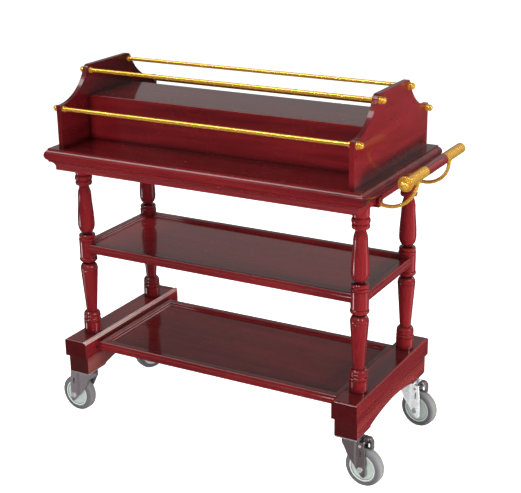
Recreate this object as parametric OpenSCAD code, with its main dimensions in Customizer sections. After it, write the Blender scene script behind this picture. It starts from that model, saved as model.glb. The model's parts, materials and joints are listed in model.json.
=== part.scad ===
// Wine trolley: a moulded table top with a railed gallery, carried on four turned
// legs with two tray shelves, two end beams, four swivel casters and a push handle.
// Millimetres. X runs along the trolley towards the handle, Y towards the back, Z up.
// The origin is on the floor, under the middle of the whole outline.

/* [Legs] */
// Distance between the leg axes along the trolley
leg_pitch_x = 800; // [740:10:860]
// Distance between the leg axes from front to back
leg_pitch_y = 290; // [270:10:330]
// Radius of the plain block that the middle shelf is let into
block_r = 22.5; // [21:0.5:25]
// Radius of the thin end of the lower taper
taper_r = 14.5; // [12:0.5:17]
// Radius of the neck under the vase
neck_r = 9.5; // [8:0.5:12]
// Radius of the neck above the vase
vase_neck_r = 13; // [11:0.5:15]
// Radius of the round tenon at each end of a leg
tenon_r = 10; // [8:0.5:11]
// Length of the round tenon at each end of a leg
tenon_l = 18; // [12:1:20]

/* [Table top] */
// Height of the table surface above the floor
table_z = 764; // [740:2:800]
// Thickness of the table slab
slab_t = 35; // [33:1:40]
// Overhang of the flat table surface beyond the leg axes, at the ends
table_over_x = 40; // [36:1:60]
// Overhang of the flat table surface beyond the leg axes, front and back
table_over_y = 90; // [80:1:110]
// Radius of the half round nose on the slab's edge
nose_r = 16; // [14:0.5:16.5]
// Reach of the nose beyond the flat surface
nose_reach = 8; // [4:0.5:12]
// Height of the coved frame under the slab
cove_h = 23; // [20:1:28]
// Width of the members of the coved frame
cove_rail_w = 90; // [80:1:100]

/* [Gallery] */
// Thickness of the end panels
panel_t = 13; // [10:1:18]
// Height of the low front and back edges of the end panels above the table
panel_low_h = 111; // [100:1:125]
// Height of the panels' raised middle above the table
panel_top_h = 194; // [180:1:205]
// Radius of the hollow curve between the low edge and the raised middle
cove_r = 125; // [110:1:140]
// Radius of the round corner of the raised middle
shoulder_r = 16; // [10:1:22]
// Depth of the raised centre step, front to back
riser_w = 192; // [170:2:210]
// Height of the raised centre step
riser_h = 116; // [90:1:125]
// Thickness of the boards of the centre step
riser_t = 12; // [9:1:16]
// Diameter of the gallery rods
rod_d = 10; // [8:0.5:12]
// Diameter of the knobs' round ends
knob_d = 16; // [14:0.5:18]

/* [Shelves] */
// Height of the middle shelf's underside above the floor
shelf_z = 462; // [440:2:480]
// Height of the lower shelf's underside above the floor
tray_z = 191; // [186:1:200]
// Height of the shelf rims
rim_h = 26; // [24:1:30]
// Width of the shelf rims
rim_w = 24; // [22:1:28]
// Thickness of the shelf panels
shelf_panel_t = 7; // [5:0.5:8]
// How far the middle shelf reaches beyond the leg axes
shelf_over = 19.5; // [17:0.5:21]
// Setback of the lower shelf's front and back edges from the beams' ends
tray_setback = 51; // [40:1:60]

/* [End beams] */
// Width of the end beams
beam_w = 68; // [62:1:74]
// How far the beams run past the leg axes at each end
beam_over = 83; // [80:1:95]
// Height of the beams' top surface above the floor
beam_z = 232; // [224:1:240]
// Thickness of the beams' upper member
cap_h = 48; // [44:1:52]
// Height of the shaped block under it
foot_h = 50; // [44:1:54]
// Rise of the arch in the block's underside
arch_rise = 20; // [10:1:26]

/* [Handle] */
// Distance of the handle bar's axis beyond the flat table surface
bar_out = 80; // [70:1:95]
// Height of the bar's axis above the table surface
bar_up = 16; // [8:1:24]
// Diameter of the bar
bar_d = 26; // [22:0.5:28]
// Length of the wooden grip
grip_l = 120; // [100:2:140]
// Length of each metal sleeve beside the grip
sleeve_l = 112; // [96:2:120]
// Distance between the two arms, where they meet the bar
arm_pitch = 198; // [190:2:226]
// Diameter of the arms
arm_d = 9; // [7:0.5:11]
// Radius of the arms' bend
arm_bend_r = 66; // [60:1:74]

/* [Casters] */
// Diameter of the wheels
wheel_d = 100; // [94:1:104]
// Width of the tyres
tyre_w = 30; // [26:1:32]
// Distance of the wheel's axle behind the swivel axis
trail = 37; // [32:1:40]
// Clear width between the fork's cheeks
fork_gap = 40; // [38:1:44]
// Thickness of the pressed steel
steel_t = 2.5; // [2:0.25:3]
// Diameter of the axle bolts
axle_d = 8; // [7:0.5:10]
// Diameter of the king pins
king_d = 12; // [10:0.5:14]
// Distance of the swivel axis from the leg axis
caster_step = 33; // [30:1:36]

/* [Hidden] */
$fn = 72;

// Clearances: a slack fit, a pin in its hole, and the gap beside a moving piece
slack = 0.1;
pin_fit = 0.05;
run_gap = 0.3;
// Overshoot of a cut past the face it opens
cut = 1;

leg_x = leg_pitch_x / 2;
leg_y = leg_pitch_y / 2;

// Table
table_x = leg_x + table_over_x;
table_y = leg_y + table_over_y;
slab_z = table_z - slab_t;
frame_z = slab_z - cove_h;
// Insets of the coved frame from the flat surface's edge, at its top and its bottom
cove_in_top = 5;
cove_in_low = 13;
cove_hollow_r = 16;
cove_lip = 2;
tenon_room = 1;
tenon_hole_l = tenon_l + tenon_room;
// Depth of the shallow housings in the slab, where the end panels and the step's boards stand
housing = 3;

// Gallery
panel_back_x = 25;
panel_back_y = 17;
panel_x = table_x - panel_back_x;
panel_y = table_y - panel_back_y;
panel_in_x = panel_x - panel_t;
panel_low_z = table_z + panel_low_h;
panel_top_z = table_z + panel_top_h;
panel_land = 6;
cove_y = panel_y - panel_land;
cove_cz = panel_low_z + cove_r;
shoulder_z = panel_top_z - shoulder_r;
shoulder_y = cove_y - sqrt(pow(cove_r + shoulder_r, 2) - pow(cove_cz - shoulder_z, 2));
cove_sweep = asin((cove_y - shoulder_y) / (cove_r + shoulder_r));
cove_steps = 24;
shoulder_steps = 12;
low_rod_in = 12;
low_rod_drop = 10;
high_rod_in = 10;
high_rod_drop = 15;
low_rod_y = panel_y - low_rod_in;
low_rod_z = panel_low_z - low_rod_drop;
high_rod_y = riser_w / 2 - high_rod_in;
high_rod_z = panel_top_z - high_rod_drop;
knob_lip = 4;
knob_collar_d = rod_d + 2 * knob_lip;
knob_collar_t = 4;
rod_end = 7;
rod_half = panel_x + rod_end;
inner_lip = 3;
inner_collar_d = rod_d + 2 * inner_lip;
inner_collar_t = 5;
dowel_d = 8;
dowel_depth = 16;
shelf_dowel_d = 6;
panel_dowel_y = 150;

// Shelves
shelf_x = leg_x + shelf_over;
shelf_y = leg_y + shelf_over;
beam_in_x = leg_x - beam_w / 2;
tray_x = beam_in_x;
tray_y = leg_y + beam_over - tray_setback;
rim_nose_r = 10.5;
rim_quirk = 3;
rim_round_r = 4;
panel_drop = 8;
groove_depth = 7;
panel_edge_gap = 0.5;
// The panel's edge is thinned to a tongue that sits in the rim's groove, under a bead
bead_r = 4.5;
tongue_step = 1.5;
tongue_t = shelf_panel_t - tongue_step;
field_gap = 0.3;
panel_in = rim_w - groove_depth + panel_edge_gap;
field_in = rim_w + bead_r + field_gap;
shelf_dowel_l = 48;
shelf_dowel_in = 11;
tray_dowel_l = 36;
tray_dowel_y = 100;
tray_dowel_rise = 5.5;

// Beams and feet
beam_y = leg_y + beam_over;
cap_z = beam_z - cap_h;
foot_z = cap_z - foot_h;
foot_in_x = 3.5;
foot_in_y = 11;
edge_r = 5;
reed_r = 1.2;
reed_angle = 30;
foot_y = beam_y - foot_in_y;
caster_y = leg_y + caster_step;
plate_l = 76;
plate_w = 58;
plate_t = 3;
pad_room = 4;
pad_y = caster_y - plate_l / 2 - pad_room;
arch_step = 3;
arch_r = (pow(pad_y, 2) + pow(arch_rise - arch_step, 2)) / (2 * (arch_rise - arch_step));

// Handle
bar_x = table_x + bar_out;
bar_z = table_z + bar_up;
bar_r = bar_d / 2;
// The end nearer the front has a wide flange with a ball; the far end a plain rounded plug
cap_lip = 5;
cap_r = bar_r + cap_lip;
cap_flange = 4;
cap_edge = 2;
ball_r = 12;
ball_out = 8;
plug_l = 8;
plug_round = 5;
plug_hole = 3;
grip_half = grip_l / 2;
sleeve_end = grip_half + sleeve_l;
handle_rod_d = 8;
arm_y = arm_pitch / 2;
arm_c_x = bar_x - arm_bend_r;
arm_c_z = bar_z - bar_r - 1;
arm_collar_d = arm_d + 3;
arm_collar_h = 4;
arm_spigot_l = 12;
// The arms start this many degrees before their lowest point, and lean outwards towards the foot
arm_start_a = 15;
arm_lean = 11;
arm_start_x = arm_c_x - arm_bend_r * sin(arm_start_a);
arm_drop = arm_bend_r * cos(arm_start_a);
arm_foot_y = arm_y + arm_drop * sin(arm_lean);
arm_foot_z = arm_c_z - arm_drop * cos(arm_lean);
arm_foot_t = 3;
arm_foot_inset = 2;
block_face_x = arm_start_x - arm_foot_inset;
arm_foot_lip = 1;
arm_foot_d = arm_d + 2 * arm_foot_lip;
handle_block_w = 22;
handle_block_h = 24;
handle_block_low = arm_foot_z - arm_foot_d / 2;
handle_block_lap = 14;

// Casters, in the caster's own frame: the swivel axis is Z and the wheel trails along +X
caster_x = leg_x;
wheel_r = wheel_d / 2;
tyre_edge_r = 9;
rim_r = 38;
hub_half = fork_gap / 2 - run_gap;
hub_boss_t = 6;
hub_recess = 3;
hub_ring_in = 4;
hub_ring_r = 2;
// A dish in each side of the hub, cut by a round of this radius, centre and offset
dish_r = 22;
dish_x = 20;
dish_out = 17;
cheek_in = fork_gap / 2;
cheek_out = cheek_in + steel_t;
// The cheeks step outwards between the fork's round front and the flat round the axle
cheek_step = 2;
step_x0 = trail - 20;
step_x1 = trail - 12;
plate_z = foot_z - plate_t;
boss_r = 20;
boss_h = 8;
crown_z1 = plate_z - boss_h - run_gap;
crown_z0 = crown_z1 - steel_t;
crown_r = 26;
crown_tail = 27;
king_head_r = 10;
king_head_h = 4;
// The riveted end of a king pin above its plate, and the pocket over it in the block
king_rivet_d = king_d + 1;
king_rivet_h = 1.5;
king_pocket_d = king_d + 2;
screw_d = 4.5;
screw_l = 22;
screw_room = 1;
screw_head_r = 4.5;
screw_head_h = 2.2;
screw_x = plate_w / 2 - 8;
screw_y = plate_l / 2 - 8;
bolt_head_r = 7.5;
bolt_head_h = 5;
slot_w = 5;
slot_l = 19;
slot_x = trail - 0.5;
slot_drop = 30;
slot_z = crown_z1 - slot_drop;
// Corners of the fork's side outline: how far below the crown, before or behind the axle
fork_front_drop = 10;
fork_knee_drop = 19;
fork_knee_x = 14;
fork_lead_x = 36;
fork_lead_up = 24;
fork_back_x = 12;
fork_back_up = 42;
fork_top_x = 8;
fork_tip_x = 7;
fork_tip_down = 15;
fork_tip_r = 6;

// Brake lever, in the same frame
brake_x = trail - 2;
brake_drop = 10;
brake_z = crown_z1 - brake_drop;
brake_pin_d = 5;
brake_pin_head_d = 8;
brake_pin_head_t = 1;
brake_hub_r = 5.5;
brake_rise = 4;
brake_arch_r = 11;
brake_arch_x = brake_x + brake_arch_r - steel_t / 2;
brake_w = 12;
brake_side = 5;
brake_gap = 2;
brake_toe_x = brake_arch_x + brake_arch_r - steel_t;
brake_toe_dx = brake_toe_x - trail;
brake_toe_z = wheel_r + sqrt(pow(wheel_r, 2) - pow(brake_toe_dx, 2)) + brake_gap;

// Where each caster stands, and the way its wheel trails, in degrees from +X
heading_fl = 176;
heading_fr = -6;
heading_bl = 247;
heading_br = -10;

// Reach of a tyre with rounded edges along X, for a wheel turned by a degrees
function tyre_reach(a) = (trail + wheel_r - tyre_edge_r) * cos(a)
    + (tyre_w / 2 - tyre_edge_r) * abs(sin(a)) + tyre_edge_r;
left_reach = caster_x + tyre_reach(180 - heading_fl);
right_reach = bar_x + cap_r;
mid_x = (right_reach - left_reach) / 2;

// Moves the trolley so that the middle of its outline stands over the origin
module placed() {
    translate([-mid_x, 0, 0]) children();
}

// Extrudes a section drawn in Y and Z along X, centred
module along_x(l) {
    rotate([90, 0, 90]) linear_extrude(l, center = true) children();
}

// Extrudes a section drawn in X and Z along Y, centred
module along_y(l) {
    rotate([90, 0, 0]) linear_extrude(l, center = true) children();
}

// A rod along X
module rod_x(d, l) {
    rotate([0, 90, 0]) cylinder(d = d, h = l, center = true);
}

// A rod along Y
module rod_y(d, l) {
    rotate([90, 0, 0]) cylinder(d = d, h = l, center = true);
}

// Both sides, by mirroring
module both_x() {
    children();
    mirror([1, 0, 0]) children();
}

module both_y() {
    children();
    mirror([0, 1, 0]) children();
}

module corners(x, y) {
    for (sx = [-1, 1], sy = [-1, 1]) translate([sx * x, sy * y, 0]) children();
}

// Plan of a frame's front and back members, cut on the mitre
module long_plan(x, y, d) {
    both_y() linear_extrude(table_z) polygon([[-x, -y], [x, -y], [x - d, d - y], [d - x, d - y]]);
}

// Plan of a frame's end members, cut on the mitre
module end_plan(x, y, d) {
    both_x() linear_extrude(table_z) polygon([[x, -y], [x, y], [x - d, y - d], [x - d, d - y]]);
}

// Section across the slab: a quirk, a half round nose and a second quirk on each edge
module slab_section(half) {
    translate([-half, slab_z]) square([2 * half, slab_t]);
    for (s = [-1, 1]) translate([s * (half + nose_reach - nose_r), slab_z + slab_t / 2]) circle(nose_r);
}

// Shallow housings for the end panels and, between them, for the step's two boards
module housings() {
    both_x() translate([panel_in_x - slack, -panel_y - slack, table_z - housing])
        cube([panel_t + 2 * slack, 2 * (panel_y + slack), housing + cut]);
    both_y() translate([-panel_in_x, -riser_w / 2 - slack, table_z - housing])
        cube([2 * panel_in_x, riser_t + 2 * slack, housing + cut]);
}

module table_top() {
    color("#6b1c24") difference() {
        intersection() {
            along_x(2 * table_x + 4 * nose_r) slab_section(table_y);
            along_y(2 * table_y + 4 * nose_r) slab_section(table_x);
        }
        housings();
        panel_dowel_places() cylinder(d = dowel_d + 2 * slack, h = 2 * (dowel_depth + cut), center = true);
    }
}

// Section of the coved frame's member, from its outer edge inwards along +X
module cove_section() {
    hollow_x = cove_in_low - cove_hollow_r;
    hollow_z = cove_h - cove_lip - sqrt(pow(cove_hollow_r, 2) - pow(cove_in_top - hollow_x, 2));
    difference() {
        translate([cove_in_top, 0]) square([cove_rail_w + cove_in_low - cove_in_top, cove_h]);
        translate([hollow_x, hollow_z]) circle(cove_hollow_r);
        translate([-cut, -cut]) square([cove_in_low + cut, hollow_z + cut]);
    }
}

module cove_long_body() {
    intersection() {
        both_y() along_x(2 * table_x) translate([-table_y, frame_z]) cove_section();
        long_plan(table_x, table_y, cove_rail_w + cove_in_low);
    }
}

module cove_end_body() {
    intersection() {
        both_x() mirror([1, 0, 0]) along_y(2 * table_y) translate([-table_x, frame_z]) cove_section();
        end_plan(table_x, table_y, cove_rail_w + cove_in_low);
    }
}

module cove_rails_long() {
    color("#7a2028") cove_long_body();
}

module cove_rails_end() {
    color("#7a2028") difference() {
        cove_end_body();
        corners(leg_x, leg_y) translate([0, 0, frame_z - cut])
            cylinder(r = tenon_r + slack, h = tenon_hole_l + cut);
    }
}

// Turned legs. Each run of the outline is a list of [radius, height] points, bottom to top.
leg_low = beam_z;
leg_high = frame_z;
bead_steps = 8;
flow_steps = 10;
quirk_w = 1;
base_r = block_r + quirk_w;
base_h = 30;
bead_h = 10;
bead_out = 2;
shoulder_h = 18;
shoulder_top_h = 5;
shoulder_out = 2;
ring_h = 12;
ring_out = 3.5;
block_below = 13;
block_above = 5;
belly_h = 27;
belly_flat_h = 6;
vase_swell_r = vase_neck_r + 5;
vase_swell_h = 26;
top_ring_h = 13;
top_ring_out = 2.5;
collar_r = 21;
collar_h = 30;
collar_edge = 4;

// A bead: a half round that swells out from radius r
function bead(z0, z1, r, out) = [for (i = [0:bead_steps]) let (a = 180 * i / bead_steps)
    [r + out * sin(a), z0 + (z1 - z0) * (1 - cos(a)) / 2]];
// A bowl: from a narrow bottom out to a full, upright edge
function bowl(z0, r0, z1, r1) = [for (i = [0:flow_steps]) let (a = 90 * i / flow_steps)
    [r0 + (r1 - r0) * sin(a), z0 + (z1 - z0) * (1 - cos(a))]];
// A dome: from an upright edge in to a narrow top
function dome(z0, r0, z1, r1) = [for (i = [0:flow_steps]) let (a = 90 * i / flow_steps)
    [r1 + (r0 - r1) * cos(a), z0 + (z1 - z0) * sin(a)]];
// A soft double curve between two radii
function flow(z0, r0, z1, r1) = [for (i = [0:flow_steps]) let (t = i / flow_steps)
    [r0 + (r1 - r0) * (1 - cos(180 * t)) / 2, z0 + (z1 - z0) * t]];

function leg_outline() = let (
    bead_z = leg_low + base_h,
    taper_z = bead_z + 3 * bead_h,
    block_z0 = shelf_z - block_below,
    ring_z = block_z0 - ring_h,
    shoulder_z1 = ring_z - shoulder_top_h,
    shoulder_z0 = shoulder_z1 - shoulder_h,
    block_z1 = shelf_z + rim_h + block_above,
    neck_z = block_z1 + 2 * (bead_h + quirk_w),
    belly_z = neck_z + belly_h,
    rings_z1 = leg_high - collar_h,
    rings_z0 = rings_z1 - 2 * top_ring_h,
    swell_z = rings_z0 - vase_swell_h
) concat(
    [[0, leg_low], [base_r - quirk_w, leg_low], [base_r, leg_low + quirk_w], [base_r, bead_z - quirk_w]],
    bead(bead_z, bead_z + bead_h - quirk_w, base_r - 2 * quirk_w, bead_out),
    bead(bead_z + bead_h, bead_z + 2 * bead_h - quirk_w, base_r - 2.5 * quirk_w, bead_out),
    dome(bead_z + 2 * bead_h, base_r - quirk_w, taper_z, taper_r),
    [[block_r + quirk_w / 2, shoulder_z0 - 3 * quirk_w]],
    [[block_r - quirk_w / 2, shoulder_z0 - 1.5 * quirk_w]],
    dome(shoulder_z0, block_r + quirk_w, shoulder_z1, neck_r + shoulder_out),
    flow(shoulder_z1 + quirk_w, neck_r + shoulder_out, ring_z - quirk_w, neck_r + shoulder_out + quirk_w),
    bead(ring_z, block_z0 - quirk_w, block_r - 2 * quirk_w, ring_out),
    [[block_r, block_z0], [block_r, block_z1]],
    bead(block_z1 + quirk_w, block_z1 + bead_h - quirk_w, block_r - 1.5 * quirk_w, bead_out),
    bead(block_z1 + bead_h, block_z1 + 2 * bead_h, block_r - 2.5 * quirk_w, bead_out),
    [[neck_r, neck_z]],
    bowl(neck_z + 2 * quirk_w, neck_r, belly_z, block_r),
    flow(belly_z + belly_flat_h, block_r - quirk_w / 5, swell_z, vase_swell_r),
    flow(swell_z + 4 * quirk_w, vase_swell_r - 0.7 * quirk_w, rings_z0 - 3 * quirk_w, vase_neck_r),
    bead(rings_z0, rings_z0 + top_ring_h - quirk_w, block_r - 3 * quirk_w, top_ring_out),
    bead(rings_z0 + top_ring_h, rings_z1, block_r - 2 * quirk_w, top_ring_out),
    [[collar_r - 2 * quirk_w, rings_z1 + quirk_w], [collar_r, rings_z1 + quirk_w + collar_edge]],
    [[collar_r, leg_high], [0, leg_high]]
);

// A leg that stands at the corner (sx, sy)
module leg(sx, sy) {
    color("#7b2028") translate([sx * leg_x, sy * leg_y, 0]) difference() {
        union() {
            rotate_extrude() polygon(leg_outline());
            translate([0, 0, leg_high - cut]) cylinder(r = tenon_r, h = tenon_l + cut);
            translate([0, 0, leg_low - tenon_l]) cylinder(r = tenon_r, h = tenon_l + cut);
        }
        translate([-sx * leg_x, -sy * leg_y, 0]) shelf_dowel_at(sx, sy)
            rod_x(shelf_dowel_d + 2 * slack, shelf_dowel_l);
    }
}

// Section of a shelf rim, from its outer edge inwards along +X: a half round nose,
// a quirk, a soft top edge, and a groove for the panel with a bead over it
module rim_section(nosed) {
    groove_z0 = rim_h - panel_drop - shelf_panel_t;
    groove_z1 = groove_z0 + tongue_t;
    quirk = nosed ? rim_quirk : 0;
    foot = nosed ? rim_nose_r : 0;
    difference() {
        union() {
            if (nosed) translate([rim_nose_r, rim_nose_r]) circle(rim_nose_r);
            translate([foot, 0]) square([rim_w - foot, rim_h - rim_round_r]);
            translate([quirk, rim_nose_r]) square([rim_w - quirk, rim_h - rim_round_r - rim_nose_r]);
            translate([quirk + rim_round_r, 0]) square([rim_w - quirk - 2 * rim_round_r, rim_h]);
            translate([quirk + rim_round_r, rim_h - rim_round_r]) circle(rim_round_r);
            translate([rim_w - rim_round_r, rim_h - rim_round_r]) circle(rim_round_r);
            translate([rim_w, groove_z1]) intersection() {
                circle(bead_r);
                square(bead_r);
            }
        }
        translate([rim_w - groove_depth, groove_z0]) square([groove_depth + cut + bead_r, tongue_t]);
    }
}

// The four mitred members of a shelf's rim
module rim_frame(x, y, z, ends_nosed) {
    depth = rim_w + bead_r;
    intersection() {
        both_y() along_x(2 * x) translate([-y, z]) rim_section(true);
        long_plan(x, y, depth);
    }
    intersection() {
        both_x() along_y(2 * y) translate([-x, z]) rim_section(ends_nosed);
        end_plan(x, y, depth);
    }
}

// A shelf's panel: the thin tongue all round and the full field inside the bead
module shelf_panel(x, y, z) {
    translate([0, 0, z + rim_h - panel_drop - shelf_panel_t]) {
        translate([panel_in - x, panel_in - y, 0])
            cube([2 * (x - panel_in), 2 * (y - panel_in), tongue_t]);
        translate([field_in - x, field_in - y, 0])
            cube([2 * (x - field_in), 2 * (y - field_in), shelf_panel_t]);
    }
}

// Round notches in the middle shelf, where the legs' blocks pass its corners
module leg_notches() {
    corners(leg_x, leg_y) translate([0, 0, shelf_z - cut]) cylinder(r = block_r + slack, h = rim_h + 2 * cut);
}

// Dowels that pin the middle shelf's long rims to the legs
module shelf_dowel_at(sx, sy) {
    translate([sx * (leg_x - block_r), sy * (shelf_y - shelf_dowel_in), shelf_z + panel_drop]) children();
}

// Dowels that pin the lower shelf to the beams
module tray_dowel_places() {
    for (sx = [-1, 1], sy = [-1, 1])
        translate([sx * tray_x, sy * tray_dowel_y, tray_z + tray_dowel_rise]) children();
}

module shelf_dowel_holes() {
    for (sx = [-1, 1], sy = [-1, 1]) shelf_dowel_at(sx, sy) rod_x(shelf_dowel_d + 2 * slack, shelf_dowel_l);
}

module middle_shelf_rim() {
    color("#6d1d26") difference() {
        rim_frame(shelf_x, shelf_y, shelf_z, true);
        leg_notches();
        shelf_dowel_holes();
    }
}

module middle_shelf_panel() {
    color("#5a1f27") difference() {
        shelf_panel(shelf_x, shelf_y, shelf_z);
        leg_notches();
    }
}

module lower_shelf_rim() {
    color("#6d1d26") difference() {
        rim_frame(tray_x, tray_y, tray_z, false);
        tray_dowel_places() rod_x(shelf_dowel_d + 2 * slack, tray_dowel_l);
    }
}

module lower_shelf_panel() {
    color("#5a1f27") shelf_panel(tray_x, tray_y, tray_z);
}

module shelf_dowels() {
    color("#d8b98a") {
        for (sx = [-1, 1], sy = [-1, 1]) shelf_dowel_at(sx, sy)
            rod_x(shelf_dowel_d, shelf_dowel_l - 2 * slack);
        tray_dowel_places() rod_x(shelf_dowel_d, tray_dowel_l - 2 * slack);
    }
}

// Section of a beam's upper member, its inner side towards -X: round top edges,
// the inner one with two fine grooves that leave three reeds
module cap_section() {
    half = beam_w / 2;
    difference() {
        union() {
            translate([-half, 0]) square([beam_w, cap_h - edge_r]);
            translate([edge_r - half, 0]) square([beam_w - 2 * edge_r, cap_h]);
            for (s = [-1, 1]) translate([s * (half - edge_r), cap_h - edge_r]) circle(edge_r);
        }
        for (a = [reed_angle, 90 - reed_angle])
            translate([edge_r * (1 - cos(a)) - half, cap_h - edge_r * (1 - sin(a))]) circle(reed_r);
    }
}

module beam_cap() {
    difference() {
        translate([leg_x, 0, 0]) intersection() {
            along_y(2 * beam_y) translate([0, cap_z]) cap_section();
            along_x(2 * beam_w) {
                translate([-beam_y, cap_z]) square([2 * beam_y, cap_h - edge_r]);
                translate([edge_r - beam_y, cap_z]) square([2 * (beam_y - edge_r), cap_h]);
                for (s = [-1, 1]) translate([s * (beam_y - edge_r), beam_z - edge_r]) circle(edge_r);
            }
        }
        for (s = [-1, 1]) translate([leg_x, s * leg_y, beam_z - tenon_hole_l])
            cylinder(r = tenon_r + slack, h = tenon_hole_l + cut);
        tray_dowel_places() rod_x(shelf_dowel_d + 2 * slack, tray_dowel_l);
    }
}

// Side outline of the block under a beam: flat pads over the casters and a low arch between
module foot_outline() {
    difference() {
        translate([-foot_y, foot_z]) square([2 * foot_y, foot_h]);
        translate([-pad_y, foot_z - cut]) square([2 * pad_y, arch_step + cut]);
        intersection() {
            translate([-pad_y, foot_z]) square([2 * pad_y, arch_rise]);
            translate([0, foot_z + arch_rise - arch_r]) circle(arch_r, $fn = 360);
        }
    }
}

module beam_foot() {
    difference() {
        translate([leg_x, 0, 0]) along_x(beam_w - 2 * foot_in_x) foot_outline();
        for (sy = [-1, 1]) translate([caster_x, sy * caster_y, 0]) screw_places(foot_z - cut)
            cylinder(d = screw_d + 2 * slack, h = screw_l + screw_room + cut);
        for (sy = [-1, 1]) translate([caster_x, sy * caster_y, foot_z - cut])
            cylinder(d = king_pocket_d, h = king_d);
    }
}

module beam_cap_left() {
    color("#8a2a30") mirror([1, 0, 0]) beam_cap();
}

module beam_cap_right() {
    color("#8a2a30") beam_cap();
}

module beam_foot_left() {
    color("#84262d") mirror([1, 0, 0]) beam_foot();
}

module beam_foot_right() {
    color("#84262d") beam_foot();
}

// Points along a round stretch about (y, z), from angle a0 to angle a1
function arc(y, z, r, a0, a1, steps) = [for (i = [0:steps]) let (a = a0 + (a1 - a0) * i / steps)
    [y + r * cos(a), z + r * sin(a)]];

// Half the outline of an end panel in Y and Z: a low edge, a hollow curve, the raised middle
function half_panel() = concat(
    [[panel_y, table_z - housing], [panel_y, panel_low_z]],
    arc(cove_y, cove_cz, cove_r, 270, 270 - cove_sweep, cove_steps),
    arc(shoulder_y, shoulder_z, shoulder_r, 90 - cove_sweep + 90 / shoulder_steps, 90, shoulder_steps)
);

function mirrored(points) = [for (i = [len(points) - 1:-1:0]) [-points[i][0], points[i][1]]];

module panel_outline() {
    polygon(concat(half_panel(), mirrored(half_panel())));
}

module rod_places() {
    for (s = [-1, 1]) {
        translate([0, s * low_rod_y, low_rod_z]) children();
        translate([0, s * high_rod_y, high_rod_z]) children();
    }
}

module panel_dowel_places() {
    for (sx = [-1, 1], y = [-panel_dowel_y, 0, panel_dowel_y])
        translate([sx * (panel_x - panel_t / 2), y, table_z]) children();
}

module end_panel() {
    difference() {
        translate([panel_x - panel_t / 2, 0, 0]) along_x(panel_t) panel_outline();
        rod_places() rod_x(rod_d + 2 * slack, 2 * panel_x + cut);
        panel_dowel_places() cylinder(d = dowel_d + 2 * slack, h = 2 * (dowel_depth + cut), center = true);
    }
}

module end_panel_left() {
    color("#8a2530") mirror([1, 0, 0]) end_panel();
}

module end_panel_right() {
    color("#8a2530") end_panel();
}

module panel_dowels() {
    color("#d8b98a") panel_dowel_places() cylinder(d = dowel_d, h = 2 * dowel_depth, center = true);
}

// The centre step: two upright boards and a top board with soft edges
module riser_top() {
    soft = 2;
    color("#7b222b") along_x(2 * panel_in_x) translate([-riser_w / 2, table_z + riser_h - riser_t]) {
        square([riser_w, riser_t - soft]);
        translate([soft, 0]) square([riser_w - 2 * soft, riser_t]);
        for (y = [soft, riser_w - soft]) translate([y, riser_t - soft]) circle(soft);
    }
}

module riser_board() {
    translate([-panel_in_x, -riser_w / 2, table_z - housing])
        cube([2 * panel_in_x, riser_t, riser_h - riser_t + housing]);
}

module riser_front() {
    color("#6e1d26") riser_board();
}

module riser_back() {
    color("#6e1d26") mirror([0, 1, 0]) riser_board();
}

module gallery_rod(y, z) {
    color("#f0b83a") translate([0, y, z]) rod_x(rod_d, 2 * rod_half);
}

// A knob on a rod's end: a collar against the panel and a round end
module knob() {
    translate([panel_x, 0, 0]) rotate([0, 90, 0]) difference() {
        union() {
            cylinder(d = knob_collar_d, h = knob_collar_t);
            translate([0, 0, knob_collar_t + knob_d / 3]) sphere(d = knob_d);
        }
        translate([0, 0, -cut]) cylinder(d = rod_d + 2 * slack, h = rod_end + cut + slack);
    }
}

module rod_knobs() {
    color("#f5c44a") both_x() rod_places() knob();
}

module rod_collars() {
    color("#f5c44a") both_x() rod_places() translate([panel_in_x - inner_collar_t / 2, 0, 0]) difference() {
        rod_x(inner_collar_d, inner_collar_t);
        rod_x(rod_d + 2 * slack, inner_collar_t + cut);
    }
}

// Push handle: a wooden grip between two metal sleeves on a through rod
module at_bar() {
    translate([bar_x, 0, bar_z]) children();
}

module handle_grip() {
    color("#7d2229") at_bar() difference() {
        rod_y(bar_d, grip_l);
        rod_y(handle_rod_d + 2 * slack, grip_l + cut);
    }
}

module handle_sleeve() {
    difference() {
        at_bar() translate([0, -(grip_half + sleeve_end) / 2, 0]) difference() {
            rod_y(bar_d, sleeve_l);
            rod_y(handle_rod_d + 2 * slack, sleeve_l + cut);
        }
        translate([bar_x, -arm_y, arm_c_z - arm_collar_h])
            cylinder(d = arm_collar_d + 2 * slack, h = arm_spigot_l);
    }
}

module handle_sleeve_front() {
    color("#f0b83a") handle_sleeve();
}

module handle_sleeve_back() {
    color("#f0b83a") mirror([0, 1, 0]) handle_sleeve();
}

// The cap on the front end: a round-edged flange with a ball on it
module ball_cap() {
    difference() {
        union() {
            rotate_extrude() {
                square([cap_r, cap_flange - cap_edge]);
                square([cap_r - cap_edge, cap_flange]);
                translate([cap_r - cap_edge, cap_flange - cap_edge]) circle(cap_edge);
            }
            translate([0, 0, ball_out]) sphere(ball_r);
        }
        translate([0, 0, -2 * ball_r]) cylinder(r = 2 * ball_r, h = 2 * ball_r);
        translate([0, 0, -cut]) cylinder(d = handle_rod_d + 2 * slack, h = plug_hole + slack + cut);
    }
}

// The plug in the back end: the bar's own width, with a rounded edge
module end_plug() {
    rotate_extrude() difference() {
        union() {
            square([bar_r, plug_l - plug_round]);
            square([bar_r - plug_round, plug_l]);
            translate([bar_r - plug_round, plug_l - plug_round]) intersection() {
                circle(plug_round);
                square(plug_round);
            }
        }
        translate([-cut, -cut]) square([handle_rod_d / 2 + slack + cut, plug_hole + slack + cut]);
    }
}

module handle_caps() {
    color("#f5c44a") at_bar() {
        translate([0, -sleeve_end, 0]) rotate([90, 0, 0]) ball_cap();
        translate([0, sleeve_end, 0]) rotate([-90, 0, 0]) end_plug();
    }
}

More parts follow.
